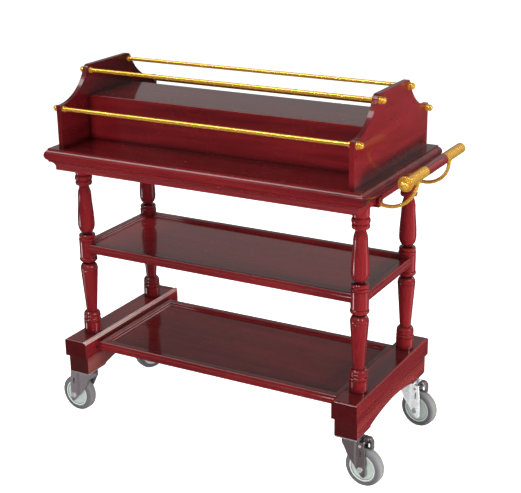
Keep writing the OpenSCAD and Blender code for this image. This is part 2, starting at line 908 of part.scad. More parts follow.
module handle_rod() {
    color("silver") at_bar() rod_y(handle_rod_d, 2 * (sleeve_end + plug_hole));
}

// An arm: a round foot on the block, a wide bend, and a thicker straight end let into the sleeve
module handle_arm() {
    sweep = 90 + 2 * arm_start_a;
    trim = 2 * arm_d;
    difference() {
        union() {
            translate([arm_c_x, -arm_y, arm_c_z]) rotate([90 - arm_lean, 0, 0]) rotate([0, 0, -sweep])
                rotate_extrude(angle = sweep) translate([arm_bend_r, 0]) circle(d = arm_d);
            translate([bar_x, -arm_y, arm_c_z - arm_collar_h]) cylinder(d = arm_collar_d, h = arm_spigot_l);
            translate([block_face_x - cut, -arm_foot_y, arm_foot_z]) rotate([0, 90, 0])
                cylinder(d = arm_foot_d, h = arm_foot_t + cut);
        }
        translate([block_face_x - 2 * trim, -arm_foot_y - trim, arm_foot_z - trim])
            cube([2 * trim, 2 * trim, 2 * trim]);
    }
}

module handle_arm_front() {
    color("#f0b83a") handle_arm();
}

module handle_arm_back() {
    color("#f0b83a") mirror([0, 1, 0]) handle_arm();
}

// Wooden blocks, scribed to the coved frame and hooked under it, that carry the arms
module handle_blocks() {
    block_x = table_x - cove_in_low - handle_block_lap;
    color("#5e1820") difference() {
        both_y() translate([block_x, -arm_foot_y - handle_block_w / 2, handle_block_low])
            cube([block_face_x - block_x, handle_block_w, handle_block_h]);
        cove_end_body();
    }
}

// Places a caster's piece: it stands at the corner (sx, sy) and trails along its heading
module caster(sx, sy, heading) {
    translate([sx * caster_x, sy * caster_y, 0]) rotate([0, 0, heading]) children();
}

module screw_places(z) {
    corners(screw_x, screw_y) translate([0, 0, z]) children();
}

module caster_plates() {
    color("#9c9aa2") corners(caster_x, caster_y) difference() {
        union() {
            translate([-plate_w / 2, -plate_l / 2, plate_z]) cube([plate_w, plate_l, plate_t]);
            translate([0, 0, plate_z - boss_h]) cylinder(r = boss_r, h = boss_h);
        }
        translate([0, 0, plate_z - boss_h - cut])
            cylinder(d = king_d + 2 * slack, h = boss_h + plate_t + 2 * cut);
        screw_places(plate_z - cut) cylinder(d = screw_d + 2 * slack, h = plate_t + 2 * cut);
    }
}

// Riveted king pins: the head under the fork's crown, the upper end spread over the plate
module king_pins() {
    color("#b9b8bf") corners(caster_x, caster_y) {
        translate([0, 0, crown_z0 - run_gap - king_head_h]) cylinder(r = king_head_r, h = king_head_h);
        translate([0, 0, crown_z0 - run_gap]) cylinder(d = king_d, h = foot_z - crown_z0 + run_gap);
        translate([0, 0, foot_z]) cylinder(d = king_rivet_d, h = king_rivet_h);
    }
}

module plate_screws() {
    color("#b9b8bf") corners(caster_x, caster_y) screw_places(plate_z - screw_head_h) {
        cylinder(r = screw_head_r, h = screw_head_h);
        cylinder(d = screw_d, h = screw_head_h + plate_t + screw_l);
    }
}

// Side outline of a fork in X and Z: wide under the crown, cut back to a tip below the axle
module fork_outline() {
    tip_x = trail + fork_tip_x;
    tip_z = wheel_r - fork_tip_down;
    difference() {
        union() {
            polygon([
                [-crown_r, crown_z1], [-crown_r, crown_z1 - fork_front_drop],
                [-fork_knee_x, crown_z1 - fork_knee_drop], [trail - fork_lead_x, wheel_r + fork_lead_up],
                [tip_x - 0.7 * fork_tip_r, tip_z - 0.7 * fork_tip_r], [tip_x + fork_tip_r, tip_z],
                [trail + fork_back_x, wheel_r + fork_back_up], [trail + fork_top_x, crown_z1]
            ]);
            translate([tip_x, tip_z]) circle(fork_tip_r);
        }
        translate([trail, wheel_r]) circle(d = axle_d + 2 * slack);
        for (s = [-1, 1]) translate([slot_x, slot_z + s * (slot_l - slot_w) / 2]) circle(d = slot_w);
        translate([slot_x - slot_w / 2, slot_z - (slot_l - slot_w) / 2]) square([slot_w, slot_l - slot_w]);
    }
}

// Plan of a fork's pressed walls: a round front, then two cheeks that step outwards
module fork_plan() {
    front_out = cheek_out - cheek_step;
    front_x = sqrt(pow(crown_r, 2) - pow(front_out, 2));
    far_x = 3 * trail;
    linear_extrude(plate_z) {
        both_y() polygon([
            [-front_x, front_out], [-front_x, front_out - steel_t], [step_x0, front_out - steel_t],
            [step_x1, cheek_in], [far_x, cheek_in],
            [far_x, cheek_out], [step_x1, cheek_out], [step_x0, front_out]
        ]);
        intersection() {
            difference() {
                circle(crown_r);
                circle(crown_r - steel_t);
            }
            translate([-2 * crown_r, -front_out]) square([2 * crown_r, 2 * front_out]);
        }
    }
}

module fork(sx, sy, heading, braked) {
    color("#8f8c96") caster(sx, sy, heading) difference() {
        union() {
            translate([0, 0, crown_z0]) cylinder(r = crown_r, h = steel_t);
            translate([0, -cheek_in, crown_z0]) cube([crown_tail, 2 * cheek_in, steel_t]);
            intersection() {
                along_y(2 * cheek_out) fork_outline();
                fork_plan();
            }
        }
        translate([0, 0, crown_z0 - cut]) cylinder(d = king_d + 2 * pin_fit, h = steel_t + 2 * cut);
        if (braked) translate([brake_x, 0, brake_z]) rod_y(brake_pin_d + 2 * slack, 4 * cheek_out);
    }
}

// An axle bolt with its head on one cheek and its nut on the other
module axle(sx, sy, heading) {
    color("#c9cdd0") caster(sx, sy, heading) translate([trail, 0, wheel_r]) {
        rod_y(axle_d, 2 * cheek_out + bolt_head_h);
        translate([0, -cheek_out - bolt_head_h / 2, 0]) rotate([90, 0, 0])
            cylinder(r = bolt_head_r, h = bolt_head_h, center = true, $fn = 6);
        translate([0, cheek_out + bolt_head_h / 2 + slack / 2, 0]) rotate([90, 0, 0]) difference() {
            cylinder(r = bolt_head_r, h = bolt_head_h - slack, center = true, $fn = 6);
            cylinder(d = axle_d + 2 * slack, h = bolt_head_h + cut, center = true);
        }
    }
}

// Half section of a wheel's hub: boss, dished face and raised ring; [radius, half width]
module hub_section() {
    bore_r = axle_d / 2 + pin_fit;
    web_half = tyre_w / 2 - hub_recess;
    difference() {
        union() {
            translate([bore_r, -hub_half]) square([hub_boss_t, 2 * hub_half]);
            translate([bore_r, -web_half]) square([rim_r - bore_r, 2 * web_half]);
            for (s = [-1, 1]) translate([rim_r - hub_ring_in, s * web_half]) circle(hub_ring_r);
        }
        for (s = [-1, 1]) translate([dish_x, s * (tyre_w / 2 + dish_out)]) circle(dish_r);
    }
}

module hub(sx, sy, heading) {
    color("#ccd8cc") caster(sx, sy, heading) translate([trail, 0, wheel_r])
        rotate([90, 0, 0]) rotate_extrude() hub_section();
}

module tyre(sx, sy, heading) {
    half = tyre_w / 2;
    inner_r = rim_r + pin_fit;
    color("#7d7983") caster(sx, sy, heading) translate([trail, 0, wheel_r])
        rotate([90, 0, 0]) rotate_extrude() {
            translate([inner_r, tyre_edge_r - half]) square([wheel_r - inner_r, tyre_w - 2 * tyre_edge_r]);
            translate([inner_r, -half]) square([wheel_r - inner_r - tyre_edge_r, tyre_w]);
            for (s = [-1, 1]) intersection() {
                translate([wheel_r - tyre_edge_r, s * (half - tyre_edge_r)]) circle(tyre_edge_r);
                translate([inner_r, -half]) square([wheel_r - inner_r, tyre_w]);
            }
        }
}

// A pressed brake lever: a hub on its pin, a stem and arch over the tyre, and a toe that bears on it
module brake_lever(sx, sy, heading) {
    arch_z = brake_z + brake_rise;
    color("#a3a1aa") caster(sx, sy, heading) translate([0, brake_side, 0]) along_y(brake_w) difference() {
        union() {
            translate([brake_x, brake_z]) circle(brake_hub_r);
            translate([brake_x - steel_t, brake_z]) square([steel_t, brake_rise + cut]);
            intersection() {
                translate([brake_arch_x, arch_z]) difference() {
                    circle(brake_arch_r + steel_t / 2);
                    circle(brake_arch_r - steel_t / 2);
                }
                translate([brake_arch_x - 2 * brake_arch_r, arch_z])
                    square([4 * brake_arch_r, 2 * brake_arch_r]);
            }
            translate([brake_toe_x + steel_t / 2, brake_toe_z]) square([steel_t, arch_z - brake_toe_z]);
        }
        translate([brake_x, brake_z]) circle(d = brake_pin_d + 2 * pin_fit);
    }
}

module brake_pin(sx, sy, heading) {
    color("#b9b8bf") caster(sx, sy, heading) translate([brake_x, 0, brake_z]) {
        rod_y(brake_pin_d, 2 * (cheek_out + brake_pin_head_t));
        both_y() translate([0, cheek_out + brake_pin_head_t / 2, 0])
            rod_y(brake_pin_head_d, brake_pin_head_t);
    }
}

placed() table_top();
placed() cove_rails_long();
placed() cove_rails_end();
placed() leg(-1, -1);  // leg_front_left
placed() leg(1, -1);  // leg_front_right
placed() leg(-1, 1);  // leg_back_left
placed() leg(1, 1);  // leg_back_right
placed() middle_shelf_panel();
placed() middle_shelf_rim();
placed() lower_shelf_panel();
placed() lower_shelf_rim();
placed() shelf_dowels();
placed() beam_cap_left();
placed() beam_cap_right();
placed() beam_foot_left();
placed() beam_foot_right();
placed() end_panel_left();
placed() end_panel_right();
placed() panel_dowels();
placed() riser_top();
placed() riser_front();
placed() riser_back();
placed() gallery_rod(-low_rod_y, low_rod_z);  // rod_front_low
placed() gallery_rod(-high_rod_y, high_rod_z);  // rod_front_high
placed() gallery_rod(high_rod_y, high_rod_z);  // rod_back_high
placed() gallery_rod(low_rod_y, low_rod_z);  // rod_back_low
placed() rod_knobs();
placed() rod_collars();
placed() handle_grip();
placed() handle_sleeve_front();
placed() handle_sleeve_back();
placed() handle_caps();
placed() handle_rod();
placed() handle_arm_front();
placed() handle_arm_back();
placed() handle_blocks();
placed() caster_plates();
placed() king_pins();
placed() plate_screws();
placed() fork(-1, -1, heading_fl, false);  // fork_front_left
placed() fork(1, -1, heading_fr, true);  // fork_front_right
placed() fork(-1, 1, heading_bl, false);  // fork_back_left
placed() fork(1, 1, heading_br, true);  // fork_back_right
placed() axle(-1, -1, heading_fl);  // axle_front_left
placed() axle(1, -1, heading_fr);  // axle_front_right
placed() axle(-1, 1, heading_bl);  // axle_back_left
placed() axle(1, 1, heading_br);  // axle_back_right
placed() hub(-1, -1, heading_fl);  // hub_front_left
placed() hub(1, -1, heading_fr);  // hub_front_right
placed() hub(-1, 1, heading_bl);  // hub_back_left
placed() hub(1, 1, heading_br);  // hub_back_right
placed() tyre(-1, -1, heading_fl);  // tyre_front_left
placed() tyre(1, -1, heading_fr);  // tyre_front_right
placed() tyre(-1, 1, heading_bl);  // tyre_back_left
placed() tyre(1, 1, heading_br);  // tyre_back_right
placed() brake_lever(1, -1, heading_fr);  // brake_lever_front
placed() brake_lever(1, 1, heading_br);  // brake_lever_back
placed() brake_pin(1, -1, heading_fr);  // brake_pin_front
placed() brake_pin(1, 1, heading_br);  // brake_pin_back
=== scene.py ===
"""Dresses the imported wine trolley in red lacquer, brass, zinc, plastic and rubber, and sets up the studio."""

import json
from math import cos, pi, radians, sin

import bpy
import numpy as np
from mathutils import Matrix, Vector


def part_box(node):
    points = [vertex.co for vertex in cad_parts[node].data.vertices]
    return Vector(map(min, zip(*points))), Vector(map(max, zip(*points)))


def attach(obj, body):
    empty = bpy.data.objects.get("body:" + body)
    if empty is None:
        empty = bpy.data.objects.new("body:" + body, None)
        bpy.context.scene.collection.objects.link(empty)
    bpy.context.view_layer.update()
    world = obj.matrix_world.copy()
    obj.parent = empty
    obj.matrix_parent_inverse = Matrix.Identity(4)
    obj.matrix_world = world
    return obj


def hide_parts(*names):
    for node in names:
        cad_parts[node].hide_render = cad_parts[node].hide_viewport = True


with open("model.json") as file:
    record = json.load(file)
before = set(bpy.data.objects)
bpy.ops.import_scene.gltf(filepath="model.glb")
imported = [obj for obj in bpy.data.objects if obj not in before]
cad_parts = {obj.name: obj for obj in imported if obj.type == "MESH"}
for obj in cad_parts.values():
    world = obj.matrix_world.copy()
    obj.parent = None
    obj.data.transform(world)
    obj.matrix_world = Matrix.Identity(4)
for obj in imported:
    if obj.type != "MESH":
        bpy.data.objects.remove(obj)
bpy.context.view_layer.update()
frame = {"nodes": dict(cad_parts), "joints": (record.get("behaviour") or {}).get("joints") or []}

CORNERS = ("front_left", "front_right", "back_left", "back_right")
MM = 0.001

# The round of a beam's inner top edge, and the reeds along it: their radius, how deep they lie in the beam,
# and how far the outer two lie from the edge
CAP_ROUND = 5 * MM
REED_RADIUS = 2.2 * MM
REED_SINK = 1.2 * MM
REED_SPREAD = 6.1 * MM
# A reed's mesh: the rings of its blunt ends as shares of its radius, then the first ring of its plain run,
# the number of rings in that run, and the number of points in a ring
REED_END = (0.02, 0.1, 0.3, 0.6, 1.0)
REED_PLAIN = 20 * MM
REED_RINGS = 24
REED_POINTS = 20

# Section of the middle shelf's rim, in mm and degrees, with the points in its nose and the angle above which
# an edge stays sharp
RIM_WIDTH = 24.0
RIM_HEIGHT = 26.0
RIM_NOSE = 10.5
RIM_NOSE_END = 135.6
RIM_NOSE_POINTS = 17
RIM_QUIRK = 3.0
RIM_ROUND = 4.0
RIM_ROUND_END = 7
RIM_SEAT = 18.0
RIM_BEAD = 4.5
RIM_LIP = 1.0
RIM_SHARP = 35
# How far the rim reaches over the legs' axes, how far its bars stop short of them, and the rings in a bar
RIM_OVER = 19.5 * MM
RIM_SHORT = 8 * MM
RIM_RINGS = 9

# The raised ring on a hub: its distance from the axle, half its width with and without its soft edge, then
# the same for the darker lines beside it, whose distance is from the ring's middle
RING_RADIUS = 34 * MM
RING_HALF = (1.6 * MM, 1.0 * MM)
LINE_AWAY = 2.4 * MM
LINE_HALF = (1.0 * MM, 0.4 * MM)
# Half the width of a tyre's tread, with and without its soft edge
TREAD_HALF = (13 * MM, 8 * MM)

# The height down to which the joint between a beam's upper member and its foot is dark, on each foot: a dark
# joint widened into painted shadow under the overhang
LEFT_SEAM_SHADE = 180.5 * MM
RIGHT_SEAM_SHADE = 177 * MM

# The camera, from the photograph: angles in degrees, lens and sensor in mm, the rest in metres
VIEW_AZIMUTH = 29.37
VIEW_ELEVATION = 19.57
VIEW_ROLL = -0.83
VIEW_DISTANCE = 3.1786
VIEW_TARGET = (0.0239, 0.0, 0.5018)
VIEW_LENS = 84.40
VIEW_SENSOR = 36

# The stain of the lacquered wood, in its darker and its lighter figure
RED_DARK = (0.085, 0.0042, 0.0062, 1)
RED_LIGHT = (0.165, 0.0095, 0.0115, 1)


def add(tree, kind, **settings):
    """A new shader node of that kind, with its settings."""
    node = tree.nodes.new("ShaderNode" + kind)
    for key, value in settings.items():
        setattr(node, key, value)
    return node


def feed(tree, socket, source):
    """Links source to the socket, or sets the socket where source is a plain value."""
    if isinstance(source, bpy.types.NodeSocket):
        tree.links.new(source, socket)
    else:
        socket.default_value = source


def set_inputs(node, values):
    """Sets a node's inputs to plain values, by their labels."""
    for label, value in values.items():
        node.inputs[label].default_value = value


def calc(tree, operation, *values):
    """The result of a Math node."""
    node = add(tree, "Math", operation=operation)
    for socket, value in zip(node.inputs, values):
        feed(tree, socket, value)
    return node.outputs[0]


def vector_calc(tree, operation, *values):
    """A Vector Math node, whose result is its Value or its first output."""
    node = add(tree, "VectorMath", operation=operation)
    for socket, value in zip(node.inputs, values):
        feed(tree, socket, value)
    return node


def part_of(tree, vector, axis):
    """One part of a vector, by the letter of its axis."""
    split = add(tree, "SeparateXYZ")
    feed(tree, split.inputs[0], vector)
    return split.outputs[axis]


def mix(tree, amount, low, high):
    """Two colours mixed by amount."""
    node = add(tree, "Mix", data_type="RGBA", blend_type="MIX")
    feed(tree, node.inputs["Factor"], amount)
    feed(tree, node.inputs["A"], low)
    feed(tree, node.inputs["B"], high)
    return node.outputs["Result"]


def remap(tree, value, low, high, to_low=0.0, to_high=1.0):
    """The value moved from one range to another, and held inside it."""
    node = add(tree, "MapRange")
    for socket, number in zip(node.inputs, (value, low, high, to_low, to_high)):
        feed(tree, socket, number)
    return node.outputs[0]


def noise(tree, vector, scale, detail=2.0, roughness=0.5, distortion=0.0):
    """A noise value from 0 to 1 over the vector, with lumps about 1 / scale across."""
    node = add(tree, "TexNoise")
    feed(tree, node.inputs["Vector"], vector)
    set_inputs(node, {"Scale": scale, "Detail": detail, "Roughness": roughness, "Distortion": distortion})
    return node.outputs["Fac"]


def effect(name, inputs, outputs):
    """An empty shader node group with these inputs, (name, kind, value), and outputs, (name, kind)."""
    tree = bpy.data.node_groups.new(name, "ShaderNodeTree")
    for label, kind, value in inputs:
        socket = tree.interface.new_socket(label, in_out="INPUT", socket_type="NodeSocket" + kind)
        if value is not None:
            socket.default_value = value
    for label, kind in outputs:
        tree.interface.new_socket(label, in_out="OUTPUT", socket_type="NodeSocket" + kind)
    return tree, tree.nodes.new("NodeGroupInput").outputs, tree.nodes.new("NodeGroupOutput").inputs


def figure_effect():
    """Wood figure with the grain along X of the vector: bands of growth, a slow mottle and fine pores."""
    outputs = [("Bands", "Float"), ("Mottle", "Float"), ("Pores", "Float")]
    tree, given, result = effect("wood figure", [("Vector", "Vector", None)], outputs)
    wave = add(tree, "TexWave", wave_type="BANDS", bands_direction="Y", wave_profile="SIN")
    feed(tree, wave.inputs["Vector"], given["Vector"])
    set_inputs(wave, {"Scale": 9.0, "Distortion": 7.0, "Detail": 3.0, "Detail Scale": 0.7})
    feed(tree, result["Bands"], wave.outputs["Fac"])
    slow = noise(tree, given["Vector"], 2.6, detail=3.0, roughness=0.55, distortion=0.6)
    feed(tree, result["Mottle"], slow)
    fine = noise(tree, given["Vector"], 60.0, roughness=0.6)
    feed(tree, result["Pores"], remap(tree, fine, 0.56, 0.72))
    return tree


def edge_effect():
    """A normal rounded over the edges within a radius, and a mask that is 1 on the edges."""
    outputs = [("Edge", "Float"), ("Normal", "Vector")]
    tree, given, result = effect("soft edges", [("Radius", "Float", 0.001)], outputs)
    bevel = add(tree, "Bevel", samples=6)
    feed(tree, bevel.inputs["Radius"], given["Radius"])
    face = add(tree, "NewGeometry").outputs["Normal"]
    alike = vector_calc(tree, "DOT_PRODUCT", bevel.outputs["Normal"], face).outputs["Value"]
    feed(tree, result["Edge"], remap(tree, alike, 0.999, 0.9))
    feed(tree, result["Normal"], bevel.outputs["Normal"])
    return tree


def dust_effect():
    """A thin uneven film on surfaces that face up: 0 is clean and 1 the thickest."""
    tree, given, result = effect("dust", [("Vector", "Vector", None)], [("Dust", "Float")])
    facing = part_of(tree, add(tree, "NewGeometry").outputs["Normal"], "Z")
    up = remap(tree, facing, 0.2, 0.95)
    cloud = remap(tree, noise(tree, given["Vector"], 22.0, detail=4.0, roughness=0.6), 0.35, 0.75)
    feed(tree, result["Dust"], calc(tree, "MULTIPLY", up, cloud))
    return tree


def smear_effect():
    """Soft smears of handling and wiping, for roughness: a slow cloud with a finer one in it."""
    tree, given, result = effect("smears", [("Vector", "Vector", None)], [("Smear", "Float")])
    slow = noise(tree, given["Vector"], 7.0, distortion=0.4)
    quick = noise(tree, given["Vector"], 55.0, detail=3.0, roughness=0.6)
    smear = calc(tree, "ADD", calc(tree, "MULTIPLY", slow, 0.7), calc(tree, "MULTIPLY", quick, 0.3))
    feed(tree, result["Smear"], smear)
    return tree


def corner_shade_effect():
    """A mask of painted shade for inner corners and quirks, from ambient occlusion: 1 deep inside them."""
    tree, given, result = effect("painted corner shade", [("Reach", "Float", 0.02)], [("Corner", "Float")])
    shade = add(tree, "AmbientOcclusion", samples=4)
    feed(tree, shade.inputs["Distance"], given["Reach"])
    feed(tree, result["Corner"], remap(tree, shade.outputs["AO"], 0.92, 0.42))
    return tree


def wheel_effect():
    """How far a point lies from a wheel's axle, and how far along the axle from the wheel's middle."""
    inputs = [("Vector", "Vector", None), ("Centre", "Vector", (0, 0, 0)), ("Axle", "Vector", (0, 1, 0))]
    tree, given, result = effect("wheel rings", inputs, [("Radius", "Float"), ("Side", "Float")])
    arm = vector_calc(tree, "SUBTRACT", given["Vector"], given["Centre"]).outputs[0]
    along = vector_calc(tree, "PROJECT", arm, given["Axle"]).outputs[0]
    out = vector_calc(tree, "SUBTRACT", arm, along).outputs[0]
    for label, vector in (("Radius", out), ("Side", along)):
        feed(tree, result[label], vector_calc(tree, "LENGTH", vector).outputs["Value"])
    return tree


FIGURE = figure_effect()
EDGES = edge_effect()
DUST = dust_effect()
SMEARS = smear_effect()
CORNER_SHADE = corner_shade_effect()
WHEEL = wheel_effect()


def place_effect(tree, group, **values):
    """Puts a node group into a material and feeds its inputs; returns its outputs."""
    node = tree.nodes.new("ShaderNodeGroup")
    node.node_tree = group
    for label, value in values.items():
        feed(tree, node.inputs[label], value)
    return node.outputs


def start_material(name):
    """A material with a plain Principled shader; returns it with its tree, shader and object coordinates."""
    material = bpy.data.materials.new(name)
    material.use_nodes = True
    tree = material.node_tree
    tree.nodes.clear()
    shader = add(tree, "BsdfPrincipled")
    output = add(tree, "OutputMaterial")
    feed(tree, output.inputs["Surface"], shader.outputs["BSDF"])
    where = add(tree, "TexCoord").outputs["Object"]
    return material, tree, shader, where


def bump(tree, height, normal, strength, distance=0.1 * MM):
    """A normal bent by a height."""
    node = add(tree, "Bump")
    set_inputs(node, {"Strength": strength, "Distance": distance})
    feed(tree, node.inputs["Height"], height)
    feed(tree, node.inputs["Normal"], normal)
    return node.outputs["Normal"]


def satin(tree, shader, smear, low, high):
    """Gives the shader a roughness that goes from low to high with the smears."""
    feed(tree, shader.inputs["Roughness"], remap(tree, smear, 0.3, 0.7, low, high))


def scaled(colour, share):
    """A colour times a share, with no part above 1."""
    return [min(1, share * part) for part in colour[:3]] + [1]


# For each grain: the turns that bring its direction onto X, in degrees, and the direction itself
GRAIN_TURN = {"x": (0, 0, 0), "y": (0, 0, -90), "z": (0, 90, 0)}
GRAIN_AXIS = {"x": (1, 0, 0), "y": (0, 1, 0), "z": (0, 0, 1)}


def end_grain(tree, axis, depth):
    """A mask for the sawn ends, which drink more stain: 0 on the long faces, up to depth on the ends."""
    face = add(tree, "NewGeometry").outputs["Normal"]
    across = vector_calc(tree, "DOT_PRODUCT", face, axis).outputs["Value"]
    return remap(tree, calc(tree, "ABSOLUTE", across), 0.55, 0.95, 0.0, depth)


def seam_shade(tree, where, low):
    """A mask for the dark joint at a foot's top edge, widened into painted shadow under the overhang, down to
    the height low.
    """
    soft = 0.7 * MM
    return remap(tree, part_of(tree, where, "Z"), low - soft, low + soft, 0.0, 0.85)


def lacquered_wood(name, grain, dark=RED_DARK, light=RED_LIGHT, shift=0.0, ends=0.0, gloss=1.0,
                   soft=0.7 * MM, seam=None):
    """Stained wood under a high gloss: figure along the grain, deeper colour in its bands, painted shade in the
    corners.

    shift moves the figure, ends deepens the sawn ends, gloss is the weight of the coat, soft is the radius of
    the edges, and seam is the height down to which a foot's joint is dark, with a painted shadow under the
    overhang.
    """
    material, tree, shader, where = start_material(name)
    turn = add(tree, "Mapping")
    feed(tree, turn.inputs["Vector"], where)
    turn.inputs["Rotation"].default_value = [radians(a) for a in GRAIN_TURN[grain]]
    stretch = add(tree, "Mapping")
    feed(tree, stretch.inputs["Vector"], turn.outputs[0])
    set_inputs(stretch, {"Location": (shift, 2.3 * shift, 0.7 * shift), "Scale": (0.9, 11.0, 11.0)})
    figure = place_effect(tree, FIGURE, Vector=stretch.outputs[0])
    edges = place_effect(tree, EDGES, Radius=soft)
    smears = place_effect(tree, SMEARS, Vector=where)
    dust = place_effect(tree, DUST, Vector=where)
    # Painted shade in inner corners and quirks, from ambient occlusion
    corners = place_effect(tree, CORNER_SHADE, Reach=20 * MM)
    deep = scaled(dark, 0.45)
    body = mix(tree, remap(tree, figure["Mottle"], 0.3, 0.7), dark, light)
    banded = mix(tree, calc(tree, "MULTIPLY", figure["Bands"], 0.25), body, deep)
    pored = mix(tree, calc(tree, "MULTIPLY", figure["Pores"], 0.10), banded, deep)
    # Stain on the sawn ends, with painted shade in the corners and, on a foot, painted shadow under its
    # overhang
    stain = calc(tree, "MAXIMUM", end_grain(tree, GRAIN_AXIS[grain], ends), corners["Corner"])
    # Painted shadow under the foot's overhang, over its dark joint
    if seam is not None:
        stain = calc(tree, "MAXIMUM", stain, seam_shade(tree, where, seam))
    stained_and_shaded = mix(tree, stain, pored, scaled(deep, 0.6))
    rubbed = mix(tree, calc(tree, "MULTIPLY", edges["Edge"], 0.3), stained_and_shaded, scaled(light, 1.8))
    dusty = mix(tree, calc(tree, "MULTIPLY", dust["Dust"], 0.02), rubbed, (0.5, 0.45, 0.42, 1))
    feed(tree, shader.inputs["Base Color"], dusty)
    satin(tree, shader, smears["Smear"], 0.20, 0.30)
    set_inputs(shader, {"IOR": 1.45, "Specular IOR Level": 0.1})
    set_inputs(shader, {"Coat Weight": gloss, "Coat Roughness": 0.035, "Coat IOR": 1.45})
    feed(tree, shader.inputs["Normal"], bump(tree, figure["Pores"], edges["Normal"], strength=0.01))
    return material


def highlit_reeds(name):
    """Lacquer with a painted highlight on the crests of the left beam's reeds, fading from the front to the
    back, and painted shade between them.
    """
    material, tree, shader, where = start_material(name)
    half_beam = 120 * MM
    smears = place_effect(tree, SMEARS, Vector=where)
    corners = place_effect(tree, CORNER_SHADE, Reach=8 * MM)
    tone = remap(tree, smears["Smear"], 0.3, 0.7)
    # Painted highlight: pale cream on the crests, fading towards the back; painted shade in the valleys
    pale = mix(tree, tone, (0.52, 0.40, 0.36, 1), (0.45, 0.33, 0.30, 1))
    highlight_fade = remap(tree, part_of(tree, where, "Y"), -half_beam, half_beam, 0.9, 0.35)
    crest = mix(tree, highlight_fade, RED_LIGHT, pale)
    feed(tree, shader.inputs["Base Color"], mix(tree, corners["Corner"], crest, scaled(RED_DARK, 0.3)))
    satin(tree, shader, smears["Smear"], 0.25, 0.35)
    set_inputs(shader, {"Coat Weight": 0.8, "Coat Roughness": 0.05})
    return material


def polished_brass(name):
    """Gold-coloured brass with a hand polish: a fine grain, deeper and duller in the smears."""
    material, tree, shader, where = start_material(name)
    smears = place_effect(tree, SMEARS, Vector=where)
    edges = place_effect(tree, EDGES, Radius=0.6 * MM)
    tone = remap(tree, smears["Smear"], 0.35, 0.7)
    feed(tree, shader.inputs["Base Color"], mix(tree, tone, (0.98, 0.58, 0.10, 1), (0.90, 0.47, 0.065, 1)))
    feed(tree, shader.inputs["Roughness"], remap(tree, smears["Smear"], 0.3, 0.75, 0.16, 0.28))
    set_inputs(shader, {"Metallic": 0.78, "Specular IOR Level": 0.3})
    grain = noise(tree, where, 900.0)
    feed(tree, shader.inputs["Normal"], bump(tree, grain, edges["Normal"], strength=0.02))
    return material


def zinc_steel(name, colour, rough=(0.22, 0.38), metal=0.5):
    """Pressed steel with a zinc coat: crystal patches of tone, paler worn edges and a smeared satin."""
    material, tree, shader, where = start_material(name)
    cells = add(tree, "TexVoronoi", feature="F1")
    feed(tree, cells.inputs["Vector"], where)
    cells.inputs["Scale"].default_value = 260.0
    to_grey = add(tree, "RGBToBW")
    feed(tree, to_grey.inputs[0], cells.outputs["Color"])
    patches = to_grey.outputs[0]
    smears = place_effect(tree, SMEARS, Vector=where)
    edges = place_effect(tree, EDGES, Radius=0.7 * MM)
    toned = mix(tree, calc(tree, "MULTIPLY", patches, 0.35), colour, scaled(colour, 0.8))
    worn = mix(tree, calc(tree, "MULTIPLY", edges["Edge"], 0.4), toned, (0.82, 0.83, 0.85, 1))
    feed(tree, shader.inputs["Base Color"], worn)
    satin(tree, shader, smears["Smear"], *rough)
    shader.inputs["Metallic"].default_value = metal
    feed(tree, shader.inputs["Normal"], bump(tree, patches, edges["Normal"], strength=0.03))
    return material


def wheel_rings(tree, where, corner):
    """The distances from a wheel's axle and from its middle; its place and axle come from its joint."""
    joint = next(j for j in frame["joints"] if j["name"] == "wheel_" + corner + "_spin")
    return place_effect(tree, WHEEL, Vector=where, Centre=joint["pos_m"], Axle=joint["axis"])


def off_by(tree, distance, mark):
    """How far a distance is from a mark, either way."""
    return calc(tree, "ABSOLUTE", calc(tree, "SUBTRACT", distance, mark))


def moulded_plastic(corner):
    """A hub's pale green-grey plastic: satin, whiter on its raised ring, darker in the lines beside it."""
    material, tree, shader, where = start_material("pale moulded plastic, " + corner)
    rings = wheel_rings(tree, where, corner)
    smears = place_effect(tree, SMEARS, Vector=where)
    edges = place_effect(tree, EDGES, Radius=0.5 * MM)
    tone = remap(tree, smears["Smear"], 0.35, 0.7)
    plain = mix(tree, tone, (0.40, 0.46, 0.415, 1), (0.33, 0.385, 0.345, 1))
    off_ring = off_by(tree, rings["Radius"], RING_RADIUS)
    crest = remap(tree, off_ring, *RING_HALF)
    pale = mix(tree, calc(tree, "MULTIPLY", crest, 0.8), plain, (0.66, 0.70, 0.67, 1))
    line = remap(tree, off_by(tree, off_ring, LINE_AWAY), *LINE_HALF)
    ring_lines_colour = mix(tree, calc(tree, "MULTIPLY", line, 0.8), pale, (0.07, 0.08, 0.075, 1))
    feed(tree, shader.inputs["Base Color"], ring_lines_colour)
    satin(tree, shader, smears["Smear"], 0.34, 0.5)
    grain = noise(tree, where, 1400.0)
    feed(tree, shader.inputs["Normal"], bump(tree, grain, edges["Normal"], strength=0.06))
    return material


def grey_rubber(corner):
    """A tyre's grey rubber: matt and mottled, paler with floor dust on its tread than on its sides."""
    material, tree, shader, where = start_material("grey rubber, " + corner)
    rings = wheel_rings(tree, where, corner)
    smears = place_effect(tree, SMEARS, Vector=where)
    edges = place_effect(tree, EDGES, Radius=1.0 * MM)
    grit = remap(tree, noise(tree, where, 320.0, detail=3.0, roughness=0.7), 0.5, 0.75)
    tone = remap(tree, smears["Smear"], 0.35, 0.7)
    side = mix(tree, tone, (0.085, 0.078, 0.090, 1), (0.125, 0.116, 0.130, 1))
    tread = remap(tree, rings["Side"], *TREAD_HALF)
    dusty = mix(tree, tread, side, (0.17, 0.17, 0.166, 1))
    gritty = mix(tree, calc(tree, "MULTIPLY", grit, 0.3), dusty, (0.05, 0.046, 0.052, 1))
    feed(tree, shader.inputs["Base Color"], gritty)
    satin(tree, shader, smears["Smear"], 0.45, 0.65)
    rough = bump(tree, grit, edges["Normal"], strength=0.12, distance=0.2 * MM)
    feed(tree, shader.inputs["Normal"], rough)
    return material


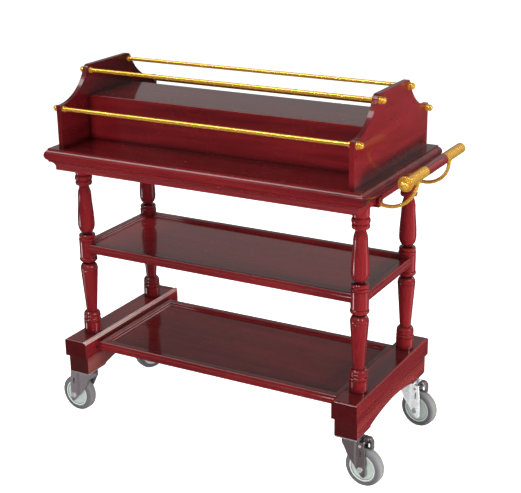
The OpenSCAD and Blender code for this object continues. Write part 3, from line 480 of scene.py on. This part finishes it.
def bare_wood(name):
    """Unfinished pale wood of the hidden dowels."""
    material, tree, shader, where = start_material(name)
    stretch = add(tree, "Mapping")
    feed(tree, stretch.inputs["Vector"], where)
    stretch.inputs["Scale"].default_value = (20.0, 20.0, 3.0)
    figure = place_effect(tree, FIGURE, Vector=stretch.outputs[0])
    banded = mix(tree, figure["Bands"], (0.52, 0.35, 0.19, 1), (0.62, 0.45, 0.27, 1))
    feed(tree, shader.inputs["Base Color"], banded)
    feed(tree, shader.inputs["Roughness"], remap(tree, figure["Mottle"], 0.3, 0.7, 0.6, 0.75))
    return material


wood_x = lacquered_wood("red lacquer, grain along the trolley", "x")
wood_y = lacquered_wood("red lacquer, grain across the trolley", "y", shift=1.7)
beam_wood = lacquered_wood("red lacquer, sawn ends of the beams", "y", shift=4.1, ends=0.75, soft=0.3 * MM)
# The left foot's lacquer is paler and pinker than the right's: painted light on its inner face
left_foot = lacquered_wood("red lacquer, left foot, painted light", "y", (0.13, 0.018, 0.018, 1), (0.21, 0.07, 0.062, 1),
                           shift=6.4, ends=0.97, soft=0.5 * MM, seam=LEFT_SEAM_SHADE)
right_foot = lacquered_wood("red lacquer, right foot", "y", (0.10, 0.008, 0.009, 1), (0.20, 0.02, 0.02, 1),
                            shift=6.4, ends=0.85, soft=0.5 * MM, seam=RIGHT_SEAM_SHADE)
reed_wood = lacquered_wood("red lacquer, reeds", "y", shift=4.6, ends=0.5, soft=0.3 * MM)
painted_highlight_reeds = highlit_reeds("red lacquer, reeds with painted highlight")
left_wood = lacquered_wood("red lacquer, shaded panel", "y", (0.055, 0.003, 0.0045, 1),
                           (0.105, 0.006, 0.0075, 1), shift=2.9)
right_wood = lacquered_wood("red lacquer, quiet panel", "y", (0.11, 0.0055, 0.0078, 1),
                            (0.145, 0.0078, 0.0100, 1), shift=1.7)
# The back left leg wears a darker copy of the upright lacquer: painted shade
shaded_z = lacquered_wood("red lacquer, grain upright, painted shade", "z", (0.05, 0.003, 0.0042, 1),
                          (0.10, 0.006, 0.0075, 1), shift=8.6)
cove_wood = lacquered_wood("red lacquer, coved rails", "x", (0.10, 0.009, 0.011, 1), (0.19, 0.018, 0.021, 1),
                           shift=9.3)
wood_z = lacquered_wood("red lacquer, grain upright", "z", shift=3.1)
# The middle shelf's veneer is lighter than the other lacquer: painted light on the shelf
veneer = lacquered_wood("red veneer", "x", (0.23, 0.0115, 0.014, 1), (0.32, 0.016, 0.020, 1), shift=5.3)
low_veneer = lacquered_wood("red veneer, rubbed duller", "x", (0.10, 0.005, 0.007, 1),
                            (0.17, 0.009, 0.012, 1), shift=7.9, gloss=0.5)
slab_wood = lacquered_wood("red lacquer, sawn ends of the slab", "x", shift=2.2, ends=0.75)
brass = polished_brass("polished brass")
zinc = zinc_steel("zinc pressing", (0.38, 0.38, 0.39, 1))
# Lit and shaded copies of the zinc: painted light on the back forks, painted shade on the front right fork and
# the brake levers, lighter painted shade on the front left fork
lit_zinc = zinc_steel("zinc pressing, painted light", (0.92, 0.94, 0.95, 1), metal=0.15)
shaded_zinc = zinc_steel("zinc pressing, painted shade", (0.135, 0.106, 0.110, 1), rough=(0.28, 0.42))
half_shaded_zinc = zinc_steel("zinc pressing, painted half shade", (0.20, 0.172, 0.185, 1), rough=(0.28, 0.42))
steel = zinc_steel("plated bolt steel", (0.68, 0.68, 0.70, 1), rough=(0.12, 0.25), metal=0.6)
dowel_wood = bare_wood("bare dowel wood")

# Each material with the nodes that wear it. The axles and wheels follow below, because each wheel's materials
# take its own centre
WORN_BY = (
    (slab_wood, ["table_top"]),
    (cove_wood, ["cove_rails_long"]),
    (wood_x, ["middle_shelf_rim", "lower_shelf_rim", "riser_top", "riser_front", "riser_back"]),
    (wood_y, ["cove_rails_end", "handle_grip", "handle_blocks"]),
    (veneer, ["middle_shelf_panel"]),
    (low_veneer, ["lower_shelf_panel"]),
    (dowel_wood, ["shelf_dowels", "panel_dowels"]),
    (beam_wood, ["beam_cap_left", "beam_cap_right"]),
    (left_foot, ["beam_foot_left"]),
    (right_foot, ["beam_foot_right"]),
    (left_wood, ["end_panel_left"]),
    (right_wood, ["end_panel_right"]),
    (wood_z, ["leg_front_left", "leg_front_right", "leg_back_right"]),
    (shaded_z, ["leg_back_left"]),
    (brass, ["rod_front_low", "rod_front_high", "rod_back_high", "rod_back_low", "rod_knobs", "rod_collars"]),
    (brass, ["handle_sleeve_front", "handle_sleeve_back", "handle_caps"]),
    (brass, ["handle_arm_front", "handle_arm_back"]),
    (steel, ["handle_rod", "king_pins", "plate_screws", "brake_pin_front", "brake_pin_back"]),
    (zinc, ["caster_plates"]),
    (half_shaded_zinc, ["fork_front_left"]),
    (shaded_zinc, ["fork_front_right", "brake_lever_front", "brake_lever_back"]),
    (lit_zinc, ["fork_back_left", "fork_back_right"]),
)
FINISHES = {node: material for material, nodes in WORN_BY for node in nodes}
for corner in CORNERS:
    FINISHES["axle_" + corner] = steel
    FINISHES["hub_" + corner] = moulded_plastic(corner)
    FINISHES["tyre_" + corner] = grey_rubber(corner)


def finish_nodes():
    """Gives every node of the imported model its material."""
    for name, piece in frame["nodes"].items():
        piece.data.materials.clear()
        piece.data.materials.append(FINISHES[name])


def grid_mesh(name, points, material, tube=False):
    """A mesh over a grid of points, rows by columns by 3. A tube is joined all round and has closed ends."""
    rows, columns = points.shape[:2]
    u = np.arange(rows - 1)
    v = np.arange(columns if tube else columns - 1)
    i, j = np.meshgrid(u, v, indexing="ij")
    i2, j2 = i + 1, (j + 1) % columns
    faces = np.stack([i * columns + j, i2 * columns + j, i2 * columns + j2, i * columns + j2], axis=-1)
    skin = faces.reshape(-1, 4).tolist()
    if tube:
        ring = np.arange(columns)
        skin += [ring.tolist(), ((rows - 1) * columns + ring[::-1]).tolist()]
    mesh = bpy.data.meshes.new(name)
    mesh.from_pydata(points.reshape(-1, 3).tolist(), [], skin)
    mesh.shade_smooth()
    piece = bpy.data.objects.new(name, mesh)
    bpy.context.scene.collection.objects.link(piece)
    piece.data.materials.append(material)
    return piece


def reed_strips(side):
    """Three raised round reeds along the inner top edge of one end beam, over the finer ones of the CAD.

    The first lies on the top, the second on the quarter round of radius CAP_ROUND between them, the third on
    the inner side, each sunk by REED_SINK. A reed's outline is a circle of radius
    REED_RADIUS * sqrt(1 - (1 - e)^4), where e runs from 0 at its end to 1 over REED_RADIUS, so its ends are
    blunt.
    """
    low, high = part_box("beam_cap_right" if side > 0 else "beam_cap_left")
    inner = low.x if side > 0 else high.x
    bend = CAP_ROUND - (CAP_ROUND - REED_SINK) * sin(radians(45))
    places = ((REED_SPREAD, REED_SINK), (bend, bend), (REED_SINK, REED_SPREAD))
    length = high.y - low.y
    end = np.array(REED_END) * REED_RADIUS
    plain = np.linspace(REED_PLAIN, length - REED_PLAIN, REED_RINGS)
    along = np.concatenate([end, plain, length - end[::-1]])
    blunt = np.clip(np.minimum(along, length - along) / REED_RADIUS, 0, 1)
    radius = REED_RADIUS * np.sqrt(1 - (1 - blunt) ** 4)
    turn = np.linspace(0, 2 * pi, REED_POINTS, endpoint=False)
    # The left reeds wear lacquer with a painted highlight
    wood = reed_wood if side > 0 else painted_highlight_reeds
    for number, (inward, down) in enumerate(places):
        x = inner + side * inward + np.outer(radius, np.cos(turn))
        z = high.z - down + np.outer(radius, np.sin(turn))
        y = np.repeat((low.y + along)[:, None], len(turn), axis=1)
        name = "reed_" + ("right" if side > 0 else "left") + "_" + str(number + 1)
        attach(grid_mesh(name, np.stack([x, y, z], axis=-1), wood, tube=True), "trolley")


def arc(centre, radius, start, end, points=9):
    """Points of a circular arc in a section's plane, its angles in degrees."""
    t = np.radians(np.linspace(start, end, points))
    return np.stack([centre[0] + radius * np.cos(t), centre[1] + radius * np.sin(t)], axis=-1)


def rim_section():
    """The outline of the middle shelf's rim, inwards from its outer edge and upwards, in metres, clockwise.

    From the bottom: a round nose of radius RIM_NOSE, a quirk of depth RIM_QUIRK, a wall whose two top edges
    have the radius RIM_ROUND, and a quarter round bead of radius RIM_BEAD, which comes down to the height
    RIM_SEAT and ends in a lip that is RIM_LIP thick.
    """
    top = RIM_HEIGHT - RIM_ROUND
    lip = RIM_SEAT - RIM_LIP
    return np.concatenate([
        [[RIM_WIDTH, 0.0]],
        arc((RIM_NOSE, RIM_NOSE), RIM_NOSE, 270, RIM_NOSE_END, RIM_NOSE_POINTS),
        arc((RIM_QUIRK + RIM_ROUND, top), RIM_ROUND, 180, 90),
        arc((RIM_WIDTH - RIM_ROUND, top), RIM_ROUND, 90, RIM_ROUND_END),
        arc((RIM_WIDTH, RIM_SEAT), RIM_BEAD, 90, 0),
        [[RIM_WIDTH + RIM_BEAD, lip], [RIM_WIDTH, lip]],
    ]) * MM


def rim_bars():
    """The middle shelf's rim as four straight bars whose ends lie inside the legs.

    The frame in the CAD is mitred, and its outer corners come through the legs by a few millimetres, which
    the photograph does not show. A bar is rim_section() carried along a straight line between two points
    short of the axes of its legs. Each quarter turn of the pair of axes along and inwards gives the next bar.
    """
    low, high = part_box("middle_shelf_rim")
    middle = (low + high) / 2
    reach = (high - low) / 2
    section = rim_section()
    up = np.array([0.0, 0.0, 1.0])
    for number, side in enumerate(("front", "right", "back", "left")):
        a = radians(90 * number)
        along = np.array([cos(a), sin(a), 0.0])
        inwards = np.array([-sin(a), cos(a), 0.0])
        lengthways = number % 2 == 0
        out, half = (reach.y, reach.x) if lengthways else (reach.x, reach.y)
        edge = np.array([middle.x, middle.y, low.z]) - out * inwards
        rings = np.linspace(-1, 1, RIM_RINGS)[:, None, None] * (half - RIM_OVER - RIM_SHORT) * along
        points = edge + rings + section[None, :, :1] * inwards + section[None, :, 1:] * up
        bar = grid_mesh("middle_rim_" + side, points, wood_x if lengthways else wood_y, tube=True)
        bar.data.set_sharp_from_angle(angle=radians(RIM_SHARP))
        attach(bar, "trolley")
        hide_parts("middle_shelf_rim")


def make_camera():
    """The camera stands where the photograph was taken from, rolled by the photograph's small tilt."""
    a, e, r = radians(VIEW_AZIMUTH), radians(VIEW_ELEVATION), radians(VIEW_ROLL)
    back = Vector((sin(a) * cos(e), -cos(a) * cos(e), sin(e)))
    level = Vector((cos(a), sin(a), 0))
    up = back.cross(level)
    side = level * cos(r) + up * sin(r)
    head = up * cos(r) - level * sin(r)
    turned = Matrix((side, head, back)).transposed().to_4x4()
    data = bpy.data.cameras.new("camera")
    data.lens = VIEW_LENS
    data.sensor_width = VIEW_SENSOR
    camera = bpy.data.objects.new("camera", data)
    camera.matrix_world = Matrix.Translation(Vector(VIEW_TARGET) + back * VIEW_DISTANCE) @ turned
    bpy.context.scene.collection.objects.link(camera)
    bpy.context.scene.camera = camera


# Lamps: the name, the place and the point it is aimed at in metres, the size in metres, the power in watts,
# and whether the gloss shows it
MIDDLE = (0, 0, 0.5)
LAMPS = (
    ("key", (3.4, -0.35, 0.80), MIDDLE, (1.1, 0.8), 190, False),
    ("fill", (0.3, -3.4, 1.0), MIDDLE, (1.4, 0.9), 115, False),
    ("top", (-1.3, 0.2, 3.2), MIDDLE, (2.6, 1.6), 55, False),
    ("back card", (-1.0, 1.7, 1.65), (-0.6, 0, 1.2), (2.8, 1.4), 2.0, True),
)


def area_light(name, place, aim, size, power, in_gloss):
    """A rectangular soft white light at a place, aimed at a point. in_gloss: whether reflections show it."""
    data = bpy.data.lights.new(name, "AREA")
    data.shape = "RECTANGLE"
    data.size, data.size_y = size
    data.energy = power
    light = bpy.data.objects.new(name, data)
    light.location = place
    light.rotation_euler = (Vector(aim) - Vector(place)).to_track_quat("-Z", "Y").to_euler()
    light.visible_glossy = in_gloss
    bpy.context.scene.collection.objects.link(light)


# Soft boxes that show in the gloss: the way to each, its outer and inner half angle in degrees, its power
SOFT_BOXES = (
    ((0.20, 0.90, 0.30), 34, 14, 0.28),
    ((0.90, 0.40, -0.33), 16, 9, 1.1),
    ((-0.82, -0.46, -0.335), 8, 5, 8.0),
    ((-0.50, -0.40, 0.70), 40, 18, 0.30),
    ((-0.50, -0.30, 0.80), 12, 8, 5.5),
    ((0.39, 0.755, 0.53), 6, 4, 9.0),
    ((0.92, -0.08, 0.40), 6, 4, 25.0),
    ((0.10, -0.78, 0.62), 6, 4, 20.0),
    ((-0.35, -0.70, 0.60), 3, 2, 60.0),
    ((0.75, -0.40, 0.52), 3, 2, 60.0),
)
# The room's own light below and above the horizon
DIM_BELOW = 0.06
DIM_ABOVE = 0.12
# Half the paper's width in metres, and its own glow to all but the camera
PAPER_HALF = 40.0
PAPER_GLOW = 0.16


def lobe(tree, ray, towards, edge, core, power):
    """The glow of a soft box in the room: power inside core degrees of towards, nothing past edge."""
    along = vector_calc(tree, "DOT_PRODUCT", ray, Vector(towards).normalized()).outputs["Value"]
    return remap(tree, along, cos(radians(edge)), cos(radians(core)), 0.0, power)


def make_room():
    """The room round the trolley: dim, darker below, soft boxes in the gloss, plain white to the camera."""
    world = bpy.data.worlds.new("room")
    world.use_nodes = True
    bpy.context.scene.world = world
    tree = world.node_tree
    ray = add(tree, "TexCoord").outputs["Generated"]
    path = add(tree, "LightPath")
    dim = remap(tree, part_of(tree, ray, "Z"), -0.10, 0.10, DIM_BELOW, DIM_ABOVE)
    boxes = 0.0
    for towards, edge, core, power in SOFT_BOXES:
        boxes = calc(tree, "ADD", boxes, lobe(tree, ray, towards, edge, core, power))
    glossy = calc(tree, "MULTIPLY", boxes, path.outputs["Is Glossy Ray"])
    lit = calc(tree, "ADD", dim, glossy)
    seen = add(tree, "Mix", data_type="FLOAT")
    feed(tree, seen.inputs[0], path.outputs["Is Camera Ray"])
    feed(tree, seen.inputs[2], lit)
    seen.inputs[3].default_value = 1.0
    background = tree.nodes["Background"]
    feed(tree, background.inputs["Strength"], seen.outputs[0])
    background.inputs["Color"].default_value = (1, 1, 1, 1)


def make_floor():
    """A wide paper floor: an even white to the camera, and to all else paper that the lamps light."""
    half = PAPER_HALF
    corners = np.array([[[-half, -half, 0], [-half, half, 0]], [[half, -half, 0], [half, half, 0]]])
    paper, tree, shader, where = start_material("studio paper")
    shade = remap(tree, noise(tree, where, 0.8), 0.3, 0.7, 0.90, 0.92)
    pale = add(tree, "CombineColor")
    for channel in pale.inputs:
        feed(tree, channel, shade)
    feed(tree, shader.inputs["Base Color"], pale.outputs[0])
    shader.inputs["Roughness"].default_value = 0.9
    seen = add(tree, "LightPath").outputs["Is Camera Ray"]
    feed(tree, shader.inputs["Emission Color"], pale.outputs[0])
    feed(tree, shader.inputs["Emission Strength"], remap(tree, seen, 0.0, 1.0, PAPER_GLOW, 1.0))
    floor = grid_mesh("floor", corners, paper)
    floor.visible_glossy = False


def make_studio():
    """The floor, the lamps (a low key on the handle's side, a fill, a top and a card behind) and the room."""
    make_floor()
    for lamp in LAMPS:
        area_light(*lamp)
    make_room()
    bpy.context.scene.view_settings.view_transform = "Standard"


finish_nodes()
reed_strips(-1)
reed_strips(1)
rim_bars()
make_camera()
make_studio()
